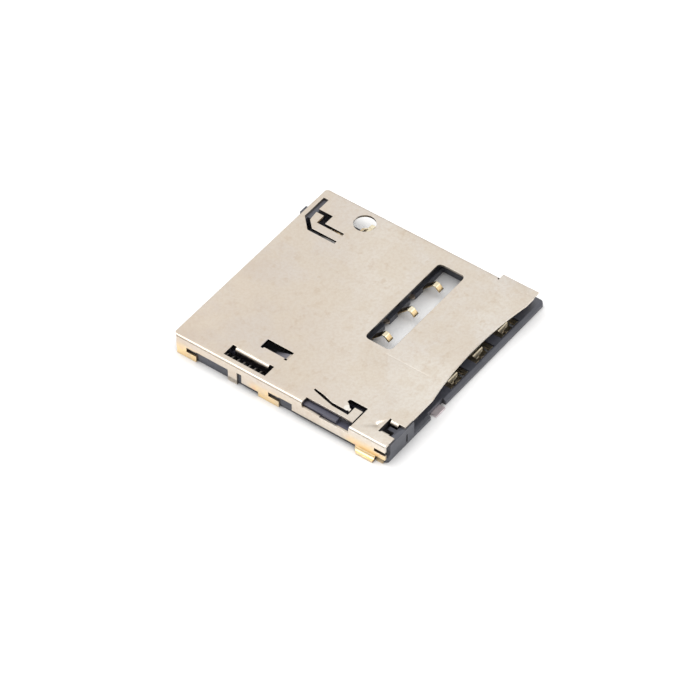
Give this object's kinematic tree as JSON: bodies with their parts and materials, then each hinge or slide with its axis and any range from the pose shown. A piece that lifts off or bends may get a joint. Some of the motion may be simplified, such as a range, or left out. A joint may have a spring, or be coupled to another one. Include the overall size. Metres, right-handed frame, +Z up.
{
  "type": "sim card socket",
  "caption": "Push-push card socket for a circuit board: a bent sheet shell over a moulded base with sprung contacts, a sprung slider with a heart-shaped cam track and its latch pin.",
  "frame": {"origin": "centre of the housing's plan at the plane of the board that it is soldered to", "axes": "+X across the mouth towards the wide front corner, +Y the way the card goes in, +Z up from the board"},
  "size_m": [0.0162, 0.0158, 0.0014],
  "materials": {
    "shell_nickel": "satin, thin warm nickel plating with faint mottling",
    "tab_nickel": "satin plating",
    "contact_gold": "bright, thin gold plating",
    "wire_steel": "bright drawn wire",
    "base_plastic": "fine matte moulding",
    "slider_plastic": "fine matte moulding"
  },
  "bodies": {
    "housing": {"shell": "shell_nickel", "base": "base_plastic", "front_pad_1": "contact_gold", "front_pad_2": "contact_gold", "front_pad_3": "contact_gold", "front_contact_1": "contact_gold", "front_contact_2": "contact_gold", "front_contact_3": "contact_gold", "rear_contact_1": "contact_gold", "rear_contact_2": "contact_gold", "rear_contact_3": "contact_gold", "detect_blade": "contact_gold", "detect_terminal": "contact_gold", "front_tab": "tab_nickel", "spring": "wire_steel"},
    "carriage": {"slider": "slider_plastic"},
    "latch": {"cam_pin": "wire_steel"}
  },
  "joints": [
    {"name": "slider_slide", "type": "slide", "parent": "housing", "child": "carriage", "axis": [0, 1, 0], "range_m": [0, 0.0024], "stiffness_N_per_m": 200, "springref_m": -0.001, "deforming": ["spring"]},
    {"name": "cam_pin_swing", "type": "hinge", "parent": "housing", "child": "latch", "pos_m": [-0.00635, -0.00615, 0.00112], "axis": [0, 0, 1], "range_deg": [0, 5.85]}
  ],
  "couplings": [
    {"joint": "cam_pin_swing", "follows": "slider_slide", "rad_per_m": 42.21}
  ]
}
